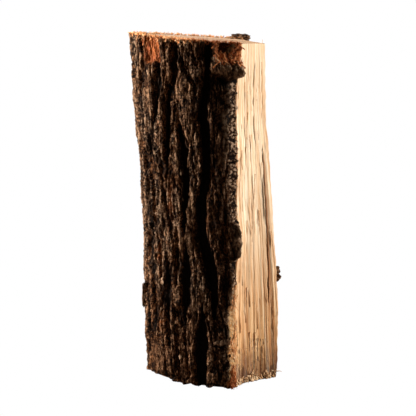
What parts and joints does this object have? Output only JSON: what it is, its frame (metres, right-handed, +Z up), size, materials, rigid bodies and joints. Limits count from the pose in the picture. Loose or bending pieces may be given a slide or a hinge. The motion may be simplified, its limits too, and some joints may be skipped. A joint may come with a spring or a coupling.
{
  "type": "split firewood log",
  "caption": "Length of firewood standing on its sawn end: a round split lengthwise, pale split faces on one side, thick furrowed bark round the rest.",
  "frame": {"origin": "centre of the bounding box in plan, on the flat lower sawn end", "axes": "+Z runs up the grain to the upper sawn end; +X points out of the split side; -Y is the side that shows bark on the left and the front split face on the right"},
  "size_m": [0.1735, 0.1807, 0.4006],
  "materials": {
    "split_wood": "freshly split sapwood, straight fibrous grain, matt",
    "bark": "thick dry bark, deep interlaced furrows, matt"
  },
  "bodies": {
    "root": {"wood": "split_wood", "bark": "bark"}
  },
  "joints": []
}
